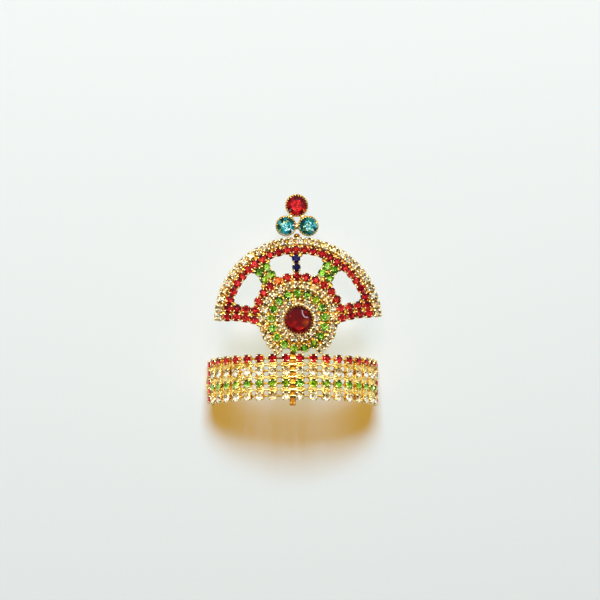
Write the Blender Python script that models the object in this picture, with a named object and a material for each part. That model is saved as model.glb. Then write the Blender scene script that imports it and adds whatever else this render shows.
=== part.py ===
"""A jeweled crown for a figure, lying on its back.

Lengths of gold cup chain set with glass stones are soldered into an open half-round
band, a medallion, a half-round fan and a cluster of three larger stones on top. The
crown is modelled in its own frame, then laid down on its tie loops and its top setting:
X runs to the right, Y to the back and Z up, with the middle of the band at the origin.
"""

import math
from collections import namedtuple

import bmesh
import bpy
from mathutils import Matrix, Vector

# Small stones and their cups
BAND_CUP = 0.0023
TOP_CUP = 0.0022
CUP_SIDES = 8
CUP_DEPTH = 0.00105
STONE_RISE = 0.0005
CUP_BACK_SHARE = 0.82
TABLE_SHARE = 0.55
LINK_WIDTH = 0.00045

# Clearances that stand where the real crown has a film of solder
MEDALLION_GAP = 0.0001
FAN_GAP = 0.0002
ROW_GAP = 0.00028
SEAT_GAP = 0.00015
STEM_GAP = 0.00025
STONE_CLEAR = 0.0001

# Band
BAND_RADIUS = 0.022
BAND_SPREAD_DEG = 146.7
BAND_SPACING = 0.0014
WIRE_ACROSS = 0.0005
WIRE_SIDES = 6
WIRE_STEPS = 18
END_BAR_WIDTH = 0.0005
TIGHT_SPACING = 0.00016

# Tie loops and stem
LOOP_ACROSS = 0.005
LOOP_WIRE = 0.0007
LOOP_STEPS = 12
STEM_WIDTH = 0.0015
STEM_THICKNESS = 0.0006
STEM_BELOW = 0.0014
STEM_EDGE = 0.0001

# Medallion and fan
MEDALLION_SHIFT = -0.0004
MEDALLION_DROP = 0.0004
MEDALLION_SEAT = 0.00015
SAG_POWER = 3
FAN_TURN_DEG = -2.0
SPOKE_DEG = 33.4
WING_DEG = 81.5

# Larger stones and their toothed settings
CENTRE_ACROSS = 0.0081
CENTRE_WAIST = 0.0074
CENTRE_DEPTH = 0.0026
TOP_RED_ACROSS = 0.0063
TOP_AQUA_ACROSS = 0.0057
TOP_DEPTH = 0.0021
TOP_SPACING = 0.0003
TOP_TURN_DEG = -0.9
TOP_WAIST_SHARE = 0.9
SETTING_TEETH = 22
TOOTH_DEEP = 0.0004
TOOTH_ROOT = 0.0008
SETTING_WALL = 0.0003
SEAT_SHARE = 0.5
SOLDER_ACROSS = 0.0004
SOLDER_SIDES = 8
SOLDER_SUNK = 0.0007
BEAD_ACROSS = 0.0016
BEAD_HEIGHT = 0.001

# Cut of the larger stones: eight main facets, and shares of the radius and the rise
MAIN_FACETS = 8
GIRDLE_HEIGHT = 0.0002
STONE_RISE_SHARE = 0.26
LARGE_TABLE_SHARE = 0.6
STAR_RADIUS_SHARE = 0.86
STAR_HEIGHT_SHARE = 0.6

# How often the search for the resting tilt halves its range
TILT_HALVINGS = 50

# Places worked out from the sizes above
TOP_PITCH = TOP_CUP + TIGHT_SPACING
MEDALLION_STEP = TOP_CUP + MEDALLION_GAP
FAN_STEP = TOP_CUP + FAN_GAP
ROW_PITCH = BAND_CUP + WIRE_ACROSS + 2 * ROW_GAP
FACE_RADIUS = BAND_RADIUS + CUP_DEPTH + STONE_RISE
WIRE_RADIUS = BAND_RADIUS + CUP_DEPTH / 2
BAND_HALF = math.radians(BAND_SPREAD_DEG) / 2
END_BAR_ANGLE = BAND_HALF + (BAND_CUP / 2 + ROW_GAP + END_BAR_WIDTH / 2) / BAND_RADIUS
END_STRIP_ANGLE = END_BAR_ANGLE + (END_BAR_WIDTH / 2 + ROW_GAP + TOP_CUP / 2) / BAND_RADIUS
INNER_RING_RADIUS = CENTRE_WAIST / 2 + SEAT_GAP + TOP_CUP / 2
TOP_ROW_HEIGHT = 1.5 * ROW_PITCH
GREEN_BOTTOM = INNER_RING_RADIUS + MEDALLION_STEP + MEDALLION_DROP + TOP_CUP / 2
MEDALLION_HEIGHT = TOP_ROW_HEIGHT + BAND_CUP / 2 + MEDALLION_SEAT + GREEN_BOTTOM
FAN_TURN = math.radians(FAN_TURN_DEG)
FRONT = Vector((0, -1, 0))
UP = Vector((0, 0, 1))

# Each row of the band: its name, its height in rows from the middle and its glass
Row = namedtuple("Row", "name rows_up glass")
ROWS = (
    Row("band_row_red", 1.5, "red"),
    Row("band_row_clear_upper", 0.5, "clear"),
    Row("band_row_green", -0.5, "green"),
    Row("band_row_clear_lower", -1.5, "clear"),
)

# Each ring and arc: how many steps it lies outside the innermost ring, the angle that it
# reaches to each side of the top, how far it sinks at the bottom and its cups' spacing
Ring = namedtuple("Ring", "name medallion_steps fan_steps half_deg drop spacing glass")
RINGS = (
    Ring("ring_clear_inner", 0, 0, 180.0, 0.0, TIGHT_SPACING, "clear"),
    Ring("ring_green", 1, 0, 180.0, MEDALLION_DROP, 0.00045, "green"),
    Ring("ring_clear_outer", 2, 0, 143.5, MEDALLION_DROP, TIGHT_SPACING, "clear"),
    Ring("fan_red_arch", 3, 0, 88.0, 0.0, 0.00035, "red"),
    Ring("fan_arc_red", 3, 3, 86.0, 0.0, TIGHT_SPACING, "red"),
    Ring("fan_arc_clear", 3, 4, 86.0, 0.0, TIGHT_SPACING, "clear"),
)

# Each spoke and wing base: its angle from the top, its columns of stones and its glass
Spoke = namedtuple("Spoke", "name angle_deg columns glass")
SPOKES = (
    Spoke("wing_base_left", -WING_DEG, 2, "red"),
    Spoke("spoke_green_left", -SPOKE_DEG, 2, "green"),
    Spoke("spoke_blue", 0.0, 1, "blue"),
    Spoke("spoke_green_right", SPOKE_DEG, 2, "green"),
    Spoke("wing_base_right", WING_DEG, 2, "red"),
)
SPOKE_STEPS = (1, 2)

# Which settings of the top cluster a bar of solder joins
SOLDER_JOINTS = (
    ("red", "aqua_left"),
    ("red", "aqua_right"),
    ("aqua_left", "aqua_right"),
    ("bead", "aqua_left"),
    ("bead", "aqua_right"),
)

# Each glass and metal: base colour, roughness and how metallic it is
Finish = namedtuple("Finish", "colour roughness metallic")
FINISHES = {
    "gold": Finish((0.86, 0.60, 0.20), 0.22, 1.0),
    "red": Finish((0.55, 0.01, 0.015), 0.08, 0.0),
    "dark_red": Finish((0.30, 0.005, 0.01), 0.08, 0.0),
    "clear": Finish((0.86, 0.84, 0.78), 0.06, 0.0),
    "green": Finish((0.28, 0.60, 0.08), 0.08, 0.0),
    "blue": Finish((0.01, 0.02, 0.20), 0.08, 0.0),
    "aqua": Finish((0.02, 0.36, 0.42), 0.08, 0.0),
}


def clear_scene():
    """Start from an empty scene."""
    for old in list(bpy.data.objects):
        bpy.data.objects.remove(old, do_unlink=True)


def finish_material(owner, finish_name):
    """A material of its own for one piece."""
    finish = FINISHES[finish_name]
    material = bpy.data.materials.new(f"{owner}_{finish_name}")
    material.use_nodes = True
    shader = material.node_tree.nodes["Principled BSDF"]
    shader.inputs["Base Color"].default_value = (*finish.colour, 1.0)
    shader.inputs["Roughness"].default_value = finish.roughness
    shader.inputs["Metallic"].default_value = finish.metallic
    material.diffuse_color = (*finish.colour, 1.0)
    return material


def add_piece(name, bm, pose, finishes):
    """Turn a finished bmesh into a named object that the pose empty carries."""
    bmesh.ops.recalc_face_normals(bm, faces=bm.faces[:])
    mesh = bpy.data.meshes.new(name)
    bm.to_mesh(mesh)
    bm.free()
    piece = bpy.data.objects.new(name, mesh)
    bpy.context.scene.collection.objects.link(piece)
    piece.parent = pose
    for finish_name in finishes:
        mesh.materials.append(finish_material(name, finish_name))
    return piece


def add_guide(name, bm, pose):
    """A hidden shape that a Boolean reads."""
    guide = add_piece(name, bm, pose, ())
    guide.hide_render = True
    guide.display_type = "WIRE"
    return guide


def solder(piece, guide):
    """Fuse a hidden guide's metal into a piece."""
    union = piece.modifiers.new("solder", "BOOLEAN")
    union.operation = "UNION"
    union.solver = "EXACT"
    union.use_self = True
    union.object = guide


def place_at(point, along, out):
    """The frame of a cup: X along its chain, Z out through its stone."""
    side = out.cross(along)
    place = Matrix((along, side, out)).transposed().to_4x4()
    place.translation = point
    return place


def band_place(angle, height, radius=BAND_RADIUS):
    """A cup's frame on the band, its back on the band's radius."""
    out = Vector((math.sin(angle), -math.cos(angle), 0))
    along = Vector((math.cos(angle), math.sin(angle), 0))
    return place_at(out * radius + UP * height, along, out)


def fan_place(radius, angle, aside=0.0):
    """A cup's frame on the fan, measured from the medallion's centre and the top."""
    centre = Vector((MEDALLION_SHIFT, -BAND_RADIUS, MEDALLION_HEIGHT))
    outward = Vector((math.sin(angle), 0, math.cos(angle)))
    across = Vector((math.cos(angle), 0, -math.sin(angle)))
    return place_at(centre + outward * radius + across * aside, across, FRONT)


def level(bm, place, sides, radius, height, turn=0.0):
    """One level of a turned shape: corners evenly spaced about the piece's Z axis."""
    corners = []
    for k in range(sides):
        angle = 2 * math.pi * (k + turn) / sides
        point = Vector((radius * math.cos(angle), radius * math.sin(angle), height))
        corners.append(bm.verts.new(place @ point))
    return corners


def skin(bm, low, high):
    """Quads between two levels with the same number of corners."""
    faces = []
    for k in range(len(low)):
        after = (k + 1) % len(low)
        faces.append(bm.faces.new((low[k], low[after], high[after], high[k])))
    return faces


def cap(bm, low, high):
    """Close a turned shape below its lowest level and above its highest."""
    bm.faces.new(tuple(reversed(low)))
    return bm.faces.new(high)


def cup_with_stone(bm, place, across):
    """A small cup with its stone fused in: a table and sixteen facets round it."""
    radius = across / 2
    back = level(bm, place, CUP_SIDES, radius * CUP_BACK_SHARE, 0, 0.5)
    rim = level(bm, place, CUP_SIDES, radius, CUP_DEPTH, 0.5)
    table = level(bm, place, CUP_SIDES, radius * TABLE_SHARE, CUP_DEPTH + STONE_RISE)
    walls = skin(bm, back, rim)
    glass = [cap(bm, back, table)]
    for k in range(CUP_SIDES):
        after = (k + 1) % CUP_SIDES
        glass.append(bm.faces.new((rim[k - 1], rim[k], table[k])))
        glass.append(bm.faces.new((rim[k], table[after], table[k])))
    for face in glass:
        face.material_index = 1
    return walls


def facing_wall(walls, other_walls):
    """Take out the wall of one cup that looks at another cup."""
    centres = [face.calc_center_median() for face in other_walls]
    target = sum(centres, Vector()) / len(centres)
    nearest = min(walls, key=lambda face: (face.calc_center_median() - target).length)
    walls.remove(nearest)
    return nearest


def link_cups(bm, walls_a, walls_b, across, spacing):
    """Join two cups by a bar; cups in a tight chain meet across the whole facet."""
    face_a = facing_wall(walls_a, walls_b)
    face_b = facing_wall(walls_b, walls_a)
    facet_width = across * math.sin(math.pi / CUP_SIDES)
    if spacing > TIGHT_SPACING and facet_width > LINK_WIDTH:
        inset = (facet_width - LINK_WIDTH) / 2
        bmesh.ops.inset_individual(bm, faces=[face_a, face_b], thickness=inset)
    edges = list(face_a.edges) + list(face_b.edges)
    bmesh.ops.delete(bm, geom=[face_a, face_b], context="FACES_ONLY")
    bmesh.ops.bridge_loops(bm, edges=edges)


def make_chain(name, places, across, spacing, glass, pose, closed=False):
    """A whole length of cup chain as one body."""
    bm = bmesh.new()
    cups = [cup_with_stone(bm, place, across) for place in places]
    pairs = list(zip(cups, cups[1:]))
    if closed:
        pairs.append((cups[-1], cups[0]))
    for walls_a, walls_b in pairs:
        link_cups(bm, walls_a, walls_b, across, spacing)
    return add_piece(name, bm, pose, ("gold", glass))


def spread(half, count):
    """Angles evenly spaced from one side of the top to the other."""
    return [half * (2 * k / (count - 1) - 1) for k in range(count)]


def band_count():
    """How many stones a row of the band holds."""
    return int(2 * BAND_HALF * FACE_RADIUS / (BAND_CUP + BAND_SPACING)) + 1


def make_rows(pose):
    """The band's four rows of spaced stones."""
    for row in ROWS:
        height = row.rows_up * ROW_PITCH
        places = [band_place(angle, height) for angle in spread(BAND_HALF, band_count())]
        make_chain(row.name, places, BAND_CUP, BAND_SPACING, row.glass, pose)


def make_end_strips(pose):
    """An upright tight chain of red stones at each end of the band."""
    room = 2 * TOP_ROW_HEIGHT + BAND_CUP - TOP_CUP
    count = int(room / TOP_PITCH) + 1
    heights = [TOP_PITCH * (k - (count - 1) / 2) for k in range(count)]
    for side, name in ((-1, "end_strip_left"), (1, "end_strip_right")):
        places = [band_place(side * END_STRIP_ANGLE, height) for height in heights]
        make_chain(name, places, TOP_CUP, TIGHT_SPACING, "red", pose)


def bent_wire(bm, height):
    """One wire bent round the band between two rows, from end bar to end bar."""
    sections = []
    for k in range(WIRE_STEPS + 1):
        angle = END_BAR_ANGLE * (2 * k / WIRE_STEPS - 1)
        place = band_place(angle, height, WIRE_RADIUS) @ Matrix.Rotation(math.pi / 2, 4, "Y")
        sections.append(level(bm, place, WIRE_SIDES, WIRE_ACROSS / 2, 0))
    for before, after in zip(sections, sections[1:]):
        skin(bm, before, after)
    cap(bm, sections[0], sections[-1])


def box(bm, place, size):
    """A box centred on a frame, with its size along that frame's axes."""
    scale = Matrix.Diagonal((*size, 1.0))
    return bmesh.ops.create_cube(bm, size=1.0, matrix=place @ scale)["verts"]


def make_band_frame(pose):
    """Three bent wires between the rows, soldered to an upright bar at each end."""
    bars = bmesh.new()
    bar_height = 2 * TOP_ROW_HEIGHT + BAND_CUP
    for side in (-1, 1):
        place = band_place(side * END_BAR_ANGLE, 0, WIRE_RADIUS)
        box(bars, place, (END_BAR_WIDTH, bar_height, CUP_DEPTH))
    frame = add_piece("band_frame", bars, pose, ("gold",))
    wires = bmesh.new()
    for rows_up in (1, 0, -1):
        bent_wire(wires, rows_up * ROW_PITCH)
    solder(frame, add_guide("band_wires_guide", wires, pose))
    frame.data.shade_flat()


def make_tie_loop(name, side, pose):
    """A plain ring behind one end strip, for the string that ties the crown on."""
    bm = bmesh.new()
    strip = band_place(side * END_STRIP_ANGLE, 0, WIRE_RADIUS)
    middle = side * (TOP_CUP / 2 + SEAT_GAP + LOOP_ACROSS / 2)
    sections = []
    for k in range(LOOP_STEPS):
        turn = Matrix.Rotation(2 * math.pi * k / LOOP_STEPS, 4, "Z")
        reach = Matrix.Translation((LOOP_ACROSS / 2 - LOOP_WIRE / 2, 0, 0))
        upright = Matrix.Rotation(math.pi / 2, 4, "X")
        place = strip @ Matrix.Translation((middle, 0, 0)) @ turn @ reach @ upright
        sections.append(level(bm, place, WIRE_SIDES, LOOP_WIRE / 2, 0))
    for k in range(LOOP_STEPS):
        skin(bm, sections[k - 1], sections[k])
    loop = add_piece(name, bm, pose, ("gold",))
    loop.data.shade_smooth()


def make_stem(pose):
    """A flat strip behind the band and the medallion, between the two middle columns."""
    step = 2 * BAND_HALF / (band_count() - 1)
    middle_x = -BAND_RADIUS * math.sin(step / 2)
    bottom = -TOP_ROW_HEIGHT - BAND_CUP / 2 - STEM_BELOW
    top = MEDALLION_HEIGHT - INNER_RING_RADIUS
    middle_y = -BAND_RADIUS + STEM_GAP + STEM_THICKNESS / 2
    bm = bmesh.new()
    place = Matrix.Translation((middle_x, middle_y, (bottom + top) / 2))
    box(bm, place, (STEM_WIDTH, STEM_THICKNESS, top - bottom))
    along = [edge for edge in bm.edges if abs((edge.verts[0].co - edge.verts[1].co).z) > 0]
    bmesh.ops.bevel(bm, geom=along, offset=STEM_EDGE, segments=1, affect="EDGES")
    add_piece("stem", bm, pose, ("gold",))


def ring_radius(ring, angle):
    """A ring's radius at an angle from the top, with its sag at the bottom."""
    radius = INNER_RING_RADIUS + ring.medallion_steps * MEDALLION_STEP
    sag = max(0.0, -math.cos(angle)) ** SAG_POWER
    return radius + ring.fan_steps * FAN_STEP + ring.drop * sag


def ring_angles(ring):
    """The angle of each stone of a ring or arc, from the top."""
    half = math.radians(ring.half_deg)
    stones = 2 * half * ring_radius(ring, 0) / (TOP_CUP + ring.spacing)
    if ring.half_deg == 180.0:
        return [2 * math.pi * k / int(stones) for k in range(int(stones))]
    return spread(half, int(stones) + 1)


def make_rings(pose):
    """The medallion's rings and the fan's arcs."""
    for ring in RINGS:
        places = []
        for angle in ring_angles(ring):
            places.append(fan_place(ring_radius(ring, angle), angle + FAN_TURN))
        closed = ring.half_deg == 180.0
        make_chain(ring.name, places, TOP_CUP, ring.spacing, ring.glass, pose, closed)


def make_spokes(pose):
    """Short chains that stand between the red arch and the red arc."""
    arch = next(ring for ring in RINGS if ring.name == "fan_red_arch")
    radii = [ring_radius(arch, 0) + step * FAN_STEP for step in SPOKE_STEPS]
    for spoke in SPOKES:
        angle = math.radians(spoke.angle_deg) + FAN_TURN
        aside = TOP_PITCH / 2 * (spoke.columns - 1)
        places = [fan_place(radius, angle, aside) for radius in radii]
        if spoke.columns == 2:
            places += [fan_place(radius, angle, -aside) for radius in reversed(radii)]
        make_chain(spoke.name, places, TOP_CUP, TIGHT_SPACING, spoke.glass, pose)


def toothed_setting(bm, place, across, waist, depth):
    """An open setting whose edge is cut into teeth; its floor is the stone's seat."""
    sides = 2 * SETTING_TEETH
    rim = across / 2
    root = depth - TOOTH_ROOT
    seat = depth * SEAT_SHARE
    edge = level(bm, place, sides, rim - SETTING_WALL / 2, depth)
    for valley in edge[::2]:
        valley.co -= place.to_3x3() @ UP * TOOTH_DEEP
    levels = [
        level(bm, place, sides, waist / 2 * CUP_BACK_SHARE, 0),
        level(bm, place, sides, waist / 2, seat),
        level(bm, place, sides, rim, root),
        edge,
        level(bm, place, sides, rim - SETTING_WALL, root),
        level(bm, place, sides, waist / 2 - SETTING_WALL, seat),
    ]
    for low, high in zip(levels, levels[1:]):
        skin(bm, low, high)
    cap(bm, levels[0], levels[-1])


def make_cut_stone(name, place, across, waist, depth, glass, pose):
    """A round cut stone: a table, star, main and girdle facets, and a tapered back."""
    bm = bmesh.new()
    radius = across / 2 - SETTING_WALL - STONE_CLEAR
    back_radius = (waist / 2 - SETTING_WALL - STONE_CLEAR) * CUP_BACK_SHARE
    girdle = depth - TOOTH_DEEP
    rise = radius * STONE_RISE_SHARE
    sides = 2 * MAIN_FACETS
    back = level(bm, place, sides, back_radius, depth * SEAT_SHARE + STONE_CLEAR)
    low = level(bm, place, sides, radius, girdle - GIRDLE_HEIGHT)
    high = level(bm, place, sides, radius, girdle)
    star_height = girdle + rise * STAR_HEIGHT_SHARE
    star = level(bm, place, MAIN_FACETS, radius * STAR_RADIUS_SHARE, star_height, 0.5)
    table = level(bm, place, MAIN_FACETS, radius * LARGE_TABLE_SHARE, girdle + rise)
    skin(bm, back, low)
    skin(bm, low, high)
    cap(bm, back, table)
    for k in range(MAIN_FACETS):
        corner = high[2 * k]
        middle = high[2 * k + 1]
        after = high[(2 * k + 2) % sides]
        bm.faces.new((table[k], star[k], table[(k + 1) % MAIN_FACETS]))
        bm.faces.new((table[k], star[k - 1], corner, star[k]))
        bm.faces.new((star[k], corner, middle))
        bm.faces.new((star[k], middle, after))
    add_piece(name, bm, pose, (glass,))


def make_centre(pose):
    """The large red stone in the middle of the medallion and its setting."""
    place = fan_place(0, 0)
    bm = bmesh.new()
    toothed_setting(bm, place, CENTRE_ACROSS, CENTRE_WAIST, CENTRE_DEPTH)
    add_piece("centre_setting", bm, pose, ("gold",))
    sizes = (CENTRE_ACROSS, CENTRE_WAIST, CENTRE_DEPTH)
    make_cut_stone("centre_stone", place, *sizes, "dark_red", pose)


def top_places():
    """Where the three top settings and the bead stand, from the medallion's centre."""
    fan_edge = ring_radius(RINGS[-1], 0) + TOP_CUP / 2
    aqua_reach = fan_edge + SEAT_GAP + TOP_AQUA_ACROSS / 2
    aqua_aside = (TOP_AQUA_ACROSS + TOP_SPACING) / 2
    aqua_height = math.sqrt(aqua_reach**2 - aqua_aside**2)
    red_reach = (TOP_AQUA_ACROSS + TOP_RED_ACROSS) / 2 + TOP_SPACING
    red_height = aqua_height + math.sqrt(red_reach**2 - aqua_aside**2)
    bead_height = fan_edge + SEAT_GAP + BEAD_ACROSS / 2
    turn = math.radians(TOP_TURN_DEG)
    return {
        "red": fan_place(red_height, turn),
        "aqua_left": fan_place(aqua_height, turn, -aqua_aside),
        "aqua_right": fan_place(aqua_height, turn, aqua_aside),
        "bead": fan_place(bead_height, turn),
    }


def solder_bar(bm, start, end, height, inset):
    """A short round bar of solder between two settings, sunk into both their floors."""
    first = start @ Vector((0, 0, height))
    last = end @ Vector((0, 0, height))
    run = (last - first).normalized()
    length = (last - first).length - inset[0] - inset[1]
    place = place_at(first + run * inset[0], FRONT, run)
    low = level(bm, place, SOLDER_SIDES, SOLDER_ACROSS / 2, 0)
    high = level(bm, place, SOLDER_SIDES, SOLDER_ACROSS / 2, length)
    skin(bm, low, high)
    cap(bm, low, high)


def make_top(pose):
    """Three settings soldered together over a small bead, and their stones."""
    places = top_places()
    across = {"red": TOP_RED_ACROSS, "aqua_left": TOP_AQUA_ACROSS, "aqua_right": TOP_AQUA_ACROSS}
    cups = bmesh.new()
    for name, size in across.items():
        waist = size * TOP_WAIST_SHARE
        toothed_setting(cups, places[name], size, waist, TOP_DEPTH)
        glass = name.split("_")[0]
        make_cut_stone(f"top_stone_{name}", places[name], size, waist, TOP_DEPTH, glass, pose)
    setting = add_piece("top_setting", cups, pose, ("gold",))
    bars = bmesh.new()
    height = TOP_DEPTH * SEAT_SHARE / 2
    sunk = {name: size * TOP_WAIST_SHARE / 2 - SOLDER_SUNK for name, size in across.items()}
    sunk["bead"] = BEAD_ACROSS / 2 - SOLDER_ACROSS / 2
    for start, end in SOLDER_JOINTS:
        solder_bar(bars, places[start], places[end], height, (sunk[start], sunk[end]))
    solder(setting, add_guide("top_solder_guide", bars, pose))
    bead = bmesh.new()
    low = level(bead, places["bead"], SOLDER_SIDES, BEAD_ACROSS / 2, 0, 0.5)
    high = level(bead, places["bead"], SOLDER_SIDES, BEAD_ACROSS / 2, BEAD_HEIGHT, 0.5)
    skin(bead, low, high)
    cap(bead, low, high)
    solder(setting, add_guide("top_bead_guide", bead, pose))


def corners_of(pieces):
    """Every corner of some pieces, in the crown's own frame."""
    return [vertex.co for piece in pieces for vertex in piece.data.vertices]


def floor_height(corners, tilt):
    """How low some corners reach once the crown lies back by a tilt past level."""
    return min(-co.y * math.cos(tilt) - co.z * math.sin(tilt) for co in corners)


def rest_tilt():
    """The tilt at which the tie loops and the top setting touch the floor together."""
    objects = bpy.data.objects
    loops = corners_of([objects["tie_loop_left"], objects["tie_loop_right"]])
    top = corners_of([objects["top_setting"]])
    low, high = 0.0, math.pi / 2
    for _ in range(TILT_HALVINGS):
        tilt = (low + high) / 2
        if floor_height(loops, tilt) < floor_height(top, tilt):
            low = tilt
        else:
            high = tilt
    return (low + high) / 2


def lay_down(pose):
    """Lay the crown on its back with its lowest points on the floor, centred."""
    pose.rotation_euler.x = -(math.pi / 2 + rest_tilt())
    turn = Matrix.Rotation(pose.rotation_euler.x, 4, "X")
    pieces = [piece for piece in pose.children if not piece.hide_render]
    corners = [turn @ co for co in corners_of(pieces)]
    lowest = Vector([min(co[axis] for co in corners) for axis in range(3)])
    highest = Vector([max(co[axis] for co in corners) for axis in range(3)])
    middle = (lowest + highest) / 2
    pose.location = (-middle.x, -middle.y, -lowest.z)


def main():
    clear_scene()
    pose = bpy.data.objects.new("crown_pose", None)
    bpy.context.scene.collection.objects.link(pose)
    make_rows(pose)
    make_end_strips(pose)
    make_band_frame(pose)
    make_tie_loop("tie_loop_left", -1, pose)
    make_tie_loop("tie_loop_right", 1, pose)
    make_stem(pose)
    make_rings(pose)
    make_spokes(pose)
    make_centre(pose)
    make_top(pose)
    lay_down(pose)


main()
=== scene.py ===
# %% [markdown]
# Dressing a small jeweled crown
#
# The crown is soldered together from lengths of gold cup chain: a string of small metal
# cups, each with four prongs folded over a foil-backed glass stone. The frame that is
# loaded here holds the plain solids of the same crown, lying on its back. Places and main
# sizes are read from those solids, and each solid is replaced by finished pieces.

# %% Load the frame
import itertools
import math
import random
from collections import namedtuple

import bmesh
import bpy
from mathutils import Matrix, Vector


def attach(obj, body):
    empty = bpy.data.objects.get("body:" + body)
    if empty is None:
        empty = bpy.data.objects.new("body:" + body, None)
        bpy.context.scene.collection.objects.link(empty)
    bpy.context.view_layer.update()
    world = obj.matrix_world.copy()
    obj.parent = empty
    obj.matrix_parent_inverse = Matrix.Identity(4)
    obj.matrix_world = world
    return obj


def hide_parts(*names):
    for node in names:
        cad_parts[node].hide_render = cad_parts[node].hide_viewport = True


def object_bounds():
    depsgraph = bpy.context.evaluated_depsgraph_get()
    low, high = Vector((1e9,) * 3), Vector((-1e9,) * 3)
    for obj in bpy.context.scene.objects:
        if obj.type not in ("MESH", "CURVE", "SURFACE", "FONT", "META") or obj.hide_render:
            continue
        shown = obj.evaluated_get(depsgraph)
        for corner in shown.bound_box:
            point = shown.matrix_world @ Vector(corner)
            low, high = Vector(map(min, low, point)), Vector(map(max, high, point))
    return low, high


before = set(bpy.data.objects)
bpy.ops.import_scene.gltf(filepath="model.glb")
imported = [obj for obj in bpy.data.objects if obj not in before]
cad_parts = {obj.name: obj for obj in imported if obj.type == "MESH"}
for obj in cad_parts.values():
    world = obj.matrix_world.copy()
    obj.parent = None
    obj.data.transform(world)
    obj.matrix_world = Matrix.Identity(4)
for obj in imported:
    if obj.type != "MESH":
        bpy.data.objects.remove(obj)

solid_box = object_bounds()
MM = 0.001
print("box in mm:", [[round(v / MM, 1) for v in corner] for corner in solid_box])

# %% [markdown]
# Finding the cups again
#
# A solid cup in the frame has eight sides and a flat table on its stone. The frame's
# meshes are cut into triangles, so the flat faces are put together again first. Each
# table and the metal behind it then give one cup: its place, its direction and its size.
# Typing the same places in by hand would work until someone changed a size.

# %% Flat faces of a solid
WELD = 0.001
FLAT = math.radians(0.3)


def flat_faces(node, sides):
    """The flat faces of a solid with this many sides: (centre, normal, area in mm2)."""
    solid = bmesh.new()
    solid.from_mesh(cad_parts[node].data)
    bmesh.ops.scale(solid, vec=(1 / MM, 1 / MM, 1 / MM), verts=solid.verts[:])
    bmesh.ops.remove_doubles(solid, verts=solid.verts[:], dist=WELD)
    bmesh.ops.dissolve_limit(
        solid, angle_limit=FLAT, verts=solid.verts[:], edges=solid.edges[:]
    )
    solid.normal_update()
    found = []
    for face in solid.faces:
        if len(face.verts) == sides:
            centre = face.calc_center_median() * MM
            found.append((centre, face.normal.copy(), face.calc_area()))
    solid.free()
    return found


# %% Cups of a chain
Cup = namedtuple("Cup", "back out radius depth")
TABLE_SHARE = 0.55
OCTAGON_AREA = 2 * math.sqrt(2)
# Areas in mm2 that the table of a small stone can have.
TABLE_AREAS = (0.8, 1.6)


def cups_of(node):
    """The cups of one chain, each with the centre of its back and the way it faces."""
    corners = [vertex.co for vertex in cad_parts[node].data.vertices]
    cups = []
    for table, out, area in flat_faces(node, 8):
        if not TABLE_AREAS[0] < area < TABLE_AREAS[1]:
            continue
        radius = math.sqrt(area / OCTAGON_AREA) / TABLE_SHARE * MM
        near = [co - table for co in corners if (co - table).cross(out).length < radius]
        depth = -min(offset.dot(out) for offset in near)
        cups.append(Cup(table - out * depth, out, radius, depth))
    return cups


chain_nodes = {
    "band_row_red": "red",
    "band_row_clear_upper": "clear",
    "band_row_green": "green",
    "band_row_clear_lower": "clear",
    "end_strip_left": "red",
    "end_strip_right": "red",
    "ring_clear_inner": "clear",
    "ring_green": "green",
    "ring_clear_outer": "clear",
    "fan_red_arch": "red",
    "fan_arc_red": "red",
    "fan_arc_clear": "clear",
    "wing_base_left": "red",
    "wing_base_right": "red",
    "spoke_green_left": "green",
    "spoke_green_right": "green",
    "spoke_blue": "blue",
}
chains = {node: cups_of(node) for node in chain_nodes}
for node, cups in chains.items():
    across, deep = 2 * cups[0].radius / MM, cups[0].depth / MM
    print(f"{node}: {len(cups)} cups, {across:.2f} mm across and {deep:.2f} deep")

# %% [markdown]
# The crown's own axes
#
# The crown lies tilted, so the world's axes are awkward to build along. The rows of the
# band give better ones: up runs from the lowest row to the highest, and the axis of the
# band lies where the rows' cups all point away from. One matrix then turns places on the
# standing crown (X right, Y back, Z up, in metres) into places on the lying one.

# %% A matrix for the crown
def middle(points):
    """The mean of some points."""
    points = list(points)
    return sum(points, Vector()) / len(points)


def on_band(name):
    """A band row's cups from left to right."""
    return sorted(chains[name], key=lambda cup: cup.back.x)


ROW_NAMES = ("band_row_red", "band_row_clear_upper", "band_row_green", "band_row_clear_lower")
rows = [on_band(name) for name in ROW_NAMES]
left_end, right_end = rows[0][0], rows[0][-1]
band_radius = (left_end.back - right_end.back).length / (left_end.out - right_end.out).length
up = middle(cup.back for cup in rows[0]) - middle(cup.back for cup in rows[-1])
up.normalize()
right = Vector((1, 0, 0))
behind = up.cross(right)
band_axis = middle(cup.back - cup.out * band_radius for row in rows for cup in row)
crown = Matrix((right, behind, up)).transposed().to_4x4()
crown.translation = band_axis
standing = crown.inverted()
print(f"band radius {band_radius / MM:.2f} mm, tilt {math.degrees(math.asin(-up.z)):.1f} degrees")


def band_angle(point):
    """How far round the band a point lies, from the middle of the front."""
    local = standing @ point
    return math.atan2(local.x, -local.y)


def place_at(point, along, out):
    """A frame for one piece: X along its chain, Z out through its stone."""
    along = (along - out * along.dot(out)).normalized()
    place = Matrix((along, out.cross(along), out)).transposed().to_4x4()
    place.translation = point
    return place


def around_band(angle, radius, height):
    """A frame on the band: X along it and Z outwards."""
    out = (crown.to_3x3() @ Vector((math.sin(angle), -math.cos(angle), 0))).normalized()
    point = crown @ Vector((math.sin(angle) * radius, -math.cos(angle) * radius, height))
    return place_at(point, up.cross(out) * -1, out)


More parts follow.
